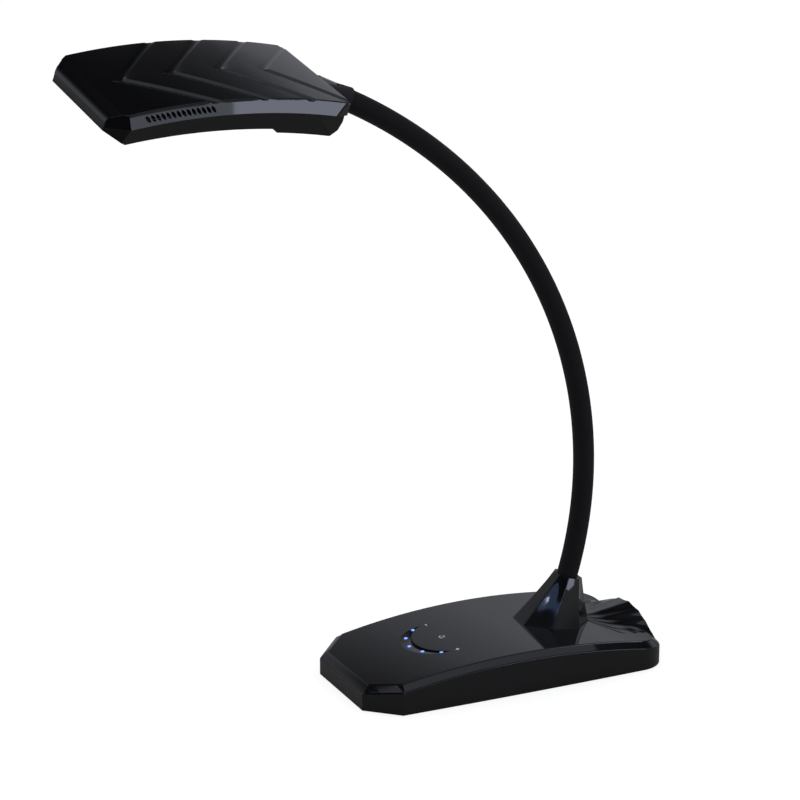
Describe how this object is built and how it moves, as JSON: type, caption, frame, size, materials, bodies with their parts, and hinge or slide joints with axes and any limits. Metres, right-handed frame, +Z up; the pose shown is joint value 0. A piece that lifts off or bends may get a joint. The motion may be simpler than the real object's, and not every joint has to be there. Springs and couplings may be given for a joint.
{
  "type": "gooseneck desk lamp",
  "caption": "Desk lamp with an arched chevron-grooved LED head on a bendable gooseneck, a faceted pedestal, and a long octagonal base with touch controls and a charging socket.",
  "frame": {"origin": "centre of the base's footprint on the resting plane", "axes": "+Z up, -Y towards the front, where the controls and the head are, +X to the right seen from the rear"},
  "size_m": [0.1302, 0.4389, 0.488],
  "materials": {
    "gloss_black": "piano gloss",
    "satin_black": "satin moulded",
    "neck_rubber": "smooth matt",
    "pad_rubber": "matt",
    "spring_steel": "bright drawn",
    "fastener_steel": "zinc plated",
    "ballast_iron": "as cast",
    "board_green": "solder mask",
    "chip_white": "moulded",
    "indicator_blue": "clear blue",
    "lens_white": "frosted",
    "reflector_white": "matt white",
    "board_metal": "milled",
    "socket_metal": "nickel plated",
    "socket_black": "moulded",
    "mark_grey": "printed"
  },
  "bodies": {
    "base": {"base_housing": "satin_black", "base_cover": "gloss_black", "grip_pad": "pad_rubber", "ballast_plate": "ballast_iron", "base_screws": "fastener_steel", "control_board": "board_green", "control_screws": "fastener_steel", "indicator_chips": "chip_white", "light_guides": "indicator_blue", "touch_crescent": "gloss_black", "touch_marks": "mark_grey", "port_board": "board_green", "usb_shell": "socket_metal", "usb_tongue": "socket_black", "power_inlet": "socket_black", "inlet_pin": "socket_metal", "pedestal": "gloss_black", "pedestal_screws": "fastener_steel", "rear_cowl": "gloss_black", "neck_root_ferrule": "fastener_steel", "neck_root_washer": "fastener_steel", "neck_root_nut": "fastener_steel", "neck_sleeve_0": "neck_rubber", "neck_core_0": "spring_steel"},
    "neck_1": {"neck_sleeve_1": "neck_rubber", "neck_core_1": "spring_steel"},
    "neck_2": {"neck_sleeve_2": "neck_rubber", "neck_core_2": "spring_steel"},
    "neck_3": {"neck_sleeve_3": "neck_rubber", "neck_core_3": "spring_steel"},
    "neck_4": {"neck_sleeve_4": "neck_rubber", "neck_core_4": "spring_steel"},
    "neck_5": {"neck_sleeve_5": "neck_rubber", "neck_core_5": "spring_steel"},
    "neck_6": {"neck_sleeve_6": "neck_rubber", "neck_core_6": "spring_steel"},
    "neck_7": {"neck_sleeve_7": "neck_rubber", "neck_core_7": "spring_steel"},
    "head": {"head_cover": "gloss_black", "head_housing": "gloss_black", "head_screws": "fastener_steel", "lens": "lens_white", "reflector_frame": "reflector_white", "led_board": "board_metal", "heat_spreader": "board_metal", "led_chips": "chip_white", "board_fixings": "fastener_steel", "neck_boot": "satin_black", "neck_tip_ferrule": "fastener_steel", "neck_tip_washer": "fastener_steel", "neck_tip_nut": "fastener_steel", "neck_sleeve_8": "neck_rubber", "neck_core_8": "spring_steel"}
  },
  "joints": [
    {"name": "neck_bend_1", "type": "hinge", "parent": "base", "child": "neck_1", "pos_m": [0, 0.0743, 0.08895], "axis": [1, 0, 0], "range_deg": [-18, 10]},
    {"name": "neck_side_1", "type": "hinge", "parent": "neck_1", "child": "neck_2", "pos_m": [0, 0.08, 0.14678], "axis": [0, 1, -0.0005], "range_deg": [-20, 20]},
    {"name": "neck_bend_2", "type": "hinge", "parent": "neck_2", "child": "neck_3", "pos_m": [0, 0.07453, 0.20464], "axis": [1, 0, 0], "range_deg": [-18, 10]},
    {"name": "neck_bend_3", "type": "hinge", "parent": "neck_3", "child": "neck_4", "pos_m": [0, 0.05843, 0.26049], "axis": [1, 0, 0], "range_deg": [-18, 10]},
    {"name": "neck_side_2", "type": "hinge", "parent": "neck_4", "child": "neck_5", "pos_m": [0, 0.03256, 0.31254], "axis": [0, 0.8525, 0.5227], "range_deg": [-20, 20]},
    {"name": "neck_bend_4", "type": "hinge", "parent": "neck_5", "child": "neck_6", "pos_m": [0, -0.00196, 0.35932], "axis": [1, 0, 0], "range_deg": [-18, 10]},
    {"name": "neck_bend_5", "type": "hinge", "parent": "neck_6", "child": "neck_7", "pos_m": [0, -0.04384, 0.39965], "axis": [1, 0, 0], "range_deg": [-18, 10]},
    {"name": "head_twist", "type": "hinge", "parent": "neck_7", "child": "head", "pos_m": [0, -0.09169, 0.43268], "axis": [0, -0.8656, 0.5007], "range_deg": [-35, 35]}
  ]
}
